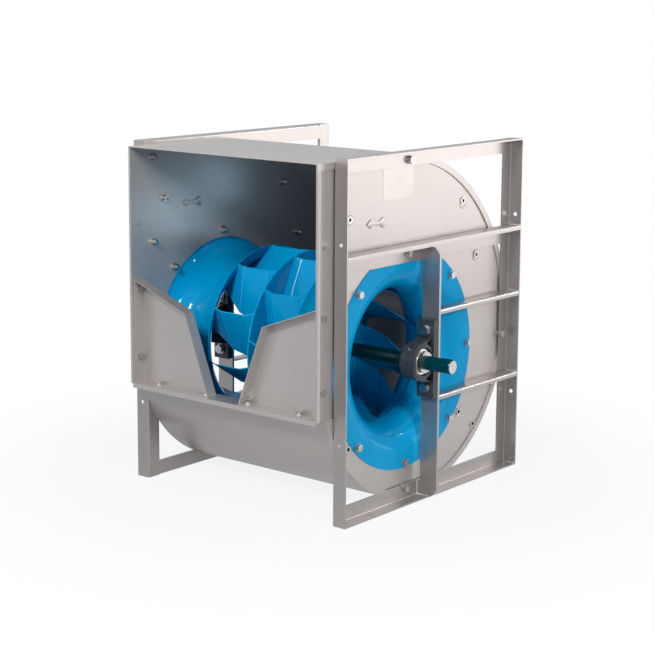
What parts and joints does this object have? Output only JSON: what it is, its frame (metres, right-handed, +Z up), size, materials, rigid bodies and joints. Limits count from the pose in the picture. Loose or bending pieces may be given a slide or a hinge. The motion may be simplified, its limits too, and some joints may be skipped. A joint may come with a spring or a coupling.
{
  "type": "centrifugal fan",
  "caption": "Double-inlet centrifugal fan: square-outlet scroll casing in a bolted angle frame, backward-curved impeller on a shaft in two pillow-block bearings.",
  "frame": {"origin": "centre of the four foot holes, on the plane that the frame's bottom rails stand on", "axes": "+X along the shaft to its drive end, -Y the way the air leaves the outlet, +Z up"},
  "size_m": [0.706, 0.658, 0.735],
  "materials": {
    "bearing_steel": "ground bearing steel",
    "blue_paint": "glossy blue powder coat",
    "cast_housing": "dark enamelled casting",
    "galvanized_frame": "galvanized angle, slightly darker",
    "galvanized_sheet": "hot-dip galvanized sheet, faint spangle",
    "hub_steel": "blue powder coat over steel",
    "seal_rubber": "moulded seal",
    "shaft_coat": "dark green anti-rust coating, satin",
    "zinc_fasteners": "zinc plated"
  },
  "bodies": {
    "casing": {"back_post_left": "galvanized_frame", "back_post_right": "galvanized_frame", "bearing_bolts_left": "zinc_fasteners", "bearing_bolts_right": "zinc_fasteners", "bearing_housing_left": "cast_housing", "bearing_housing_right": "cast_housing", "bearing_outer_ring_left": "bearing_steel", "bearing_outer_ring_right": "bearing_steel", "bearing_seals_left": "seal_rubber", "bearing_seals_right": "seal_rubber", "bearing_strut_left": "galvanized_frame", "bearing_strut_right": "galvanized_frame", "bottom_rail_left": "galvanized_frame", "bottom_rail_right": "galvanized_frame", "cross_rail_left": "galvanized_frame", "cross_rail_right": "galvanized_frame", "cutoff_bolts_left": "zinc_fasteners", "cutoff_bolts_right": "zinc_fasteners", "cutoff_plate_left": "galvanized_sheet", "cutoff_plate_right": "galvanized_sheet", "frame_bolts_left": "zinc_fasteners", "frame_bolts_right": "zinc_fasteners", "front_post_left": "galvanized_frame", "front_post_right": "galvanized_frame", "grease_nipple_left": "zinc_fasteners", "grease_nipple_right": "zinc_fasteners", "inlet_nozzle_left": "blue_paint", "inlet_nozzle_right": "blue_paint", "lower_brace_left": "galvanized_frame", "lower_brace_right": "galvanized_frame", "nozzle_bolts_left": "zinc_fasteners", "nozzle_bolts_right": "zinc_fasteners", "nozzle_frame_bolts_left": "zinc_fasteners", "nozzle_frame_bolts_right": "zinc_fasteners", "outlet_lip": "galvanized_sheet", "rivet_nuts_left": "zinc_fasteners", "rivet_nuts_right": "zinc_fasteners", "scroll_wrap": "galvanized_sheet", "side_plate_left": "galvanized_sheet", "side_plate_right": "galvanized_sheet", "top_rail_left": "galvanized_frame", "top_rail_right": "galvanized_frame", "upper_brace_left": "galvanized_frame", "upper_brace_right": "galvanized_frame"},
    "rotor": {"bearing_inner_ring_left": "bearing_steel", "bearing_inner_ring_right": "bearing_steel", "blades_left": "blue_paint", "blades_right": "blue_paint", "centre_disc": "blue_paint", "collar_screw_left": "zinc_fasteners", "collar_screw_right": "zinc_fasteners", "hub": "hub_steel", "hub_bolts": "zinc_fasteners", "hub_key": "shaft_coat", "locking_collar_left": "bearing_steel", "locking_collar_right": "bearing_steel", "shaft": "shaft_coat", "shroud_left": "blue_paint", "shroud_right": "blue_paint"}
  },
  "joints": [
    {"name": "rotor_spin", "type": "hinge", "parent": "casing", "child": "rotor", "pos_m": [0, -0.069, 0.301], "axis": [1, 0, 0], "continuous": true}
  ]
}
